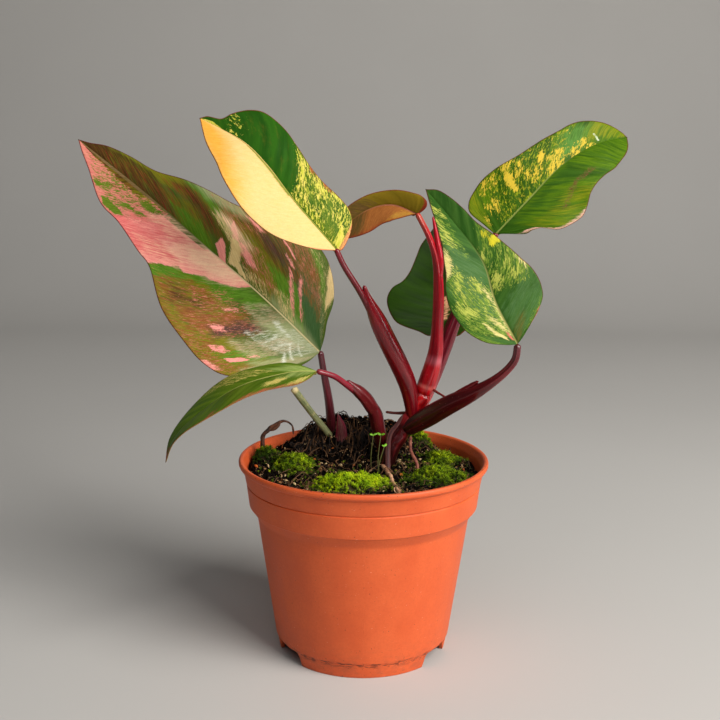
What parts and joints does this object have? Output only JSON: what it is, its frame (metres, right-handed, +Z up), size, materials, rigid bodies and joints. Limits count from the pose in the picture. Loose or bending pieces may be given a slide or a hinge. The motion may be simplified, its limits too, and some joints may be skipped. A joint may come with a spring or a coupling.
{
  "type": "potted variegated philodendron",
  "caption": "Variegated philodendron with pink, cream and green leaves on red petioles, growing in a round terracotta-coloured nursery pot with soil and moss.",
  "frame": {"origin": "centre of the pot's foot, on the surface that the pot stands on", "axes": "+Z up along the pot's axis, +Y towards the plant's back, +X to the right as seen from the front"},
  "size_m": [0.2712, 0.12, 0.258],
  "materials": {
    "terracotta_plastic": "satin moulded plastic with small scuffs",
    "potting_mix": "loose bark, peat and fibre",
    "moss": "soft living moss",
    "seedling": "smooth living leaf",
    "maroon_stem": "glossy living stem",
    "red_stem": "glossy living stem",
    "dark_stem": "semi-gloss living stem",
    "cut_stem": "drying stem with a cut end",
    "old_sheath": "withered sheath",
    "dried_plant": "dry and fibrous",
    "leaf_pink": "semi-gloss variegated leaf",
    "leaf_half_yellow": "semi-gloss variegated leaf",
    "leaf_young": "semi-gloss young leaf",
    "leaf_shaded": "semi-gloss variegated leaf",
    "leaf_front": "semi-gloss variegated leaf",
    "leaf_upper": "semi-gloss variegated leaf",
    "leaf_arching": "semi-gloss variegated leaf"
  },
  "bodies": {
    "root": {"pot": "terracotta_plastic", "soil": "potting_mix", "stem": "maroon_stem", "petiole_half_yellow": "maroon_stem", "petiole_young": "red_stem", "petiole_front": "dark_stem", "petiole_upper": "dark_stem", "petiole_shaded": "dark_stem", "petiole_pink": "dark_stem", "petiole_arching": "dark_stem", "cut_petiole": "cut_stem", "dry_tendril": "dried_plant", "aerial_root_right": "dried_plant", "aerial_root_left": "dried_plant", "aerial_root_down": "dried_plant", "aerial_root_long": "dried_plant", "old_sheath": "old_sheath", "dry_bract": "dried_plant", "seedling_left": "seedling", "seedling_middle": "seedling", "seedling_right": "seedling", "moss_front": "moss", "moss_left": "moss", "moss_left_rim": "moss", "moss_right": "moss", "moss_right_side": "moss", "moss_back_right": "moss", "leaf_pink": "leaf_pink", "leaf_half_yellow": "leaf_half_yellow", "leaf_young": "leaf_young", "leaf_shaded": "leaf_shaded", "leaf_front": "leaf_front", "leaf_upper": "leaf_upper", "leaf_arching": "leaf_arching"}
  },
  "joints": []
}
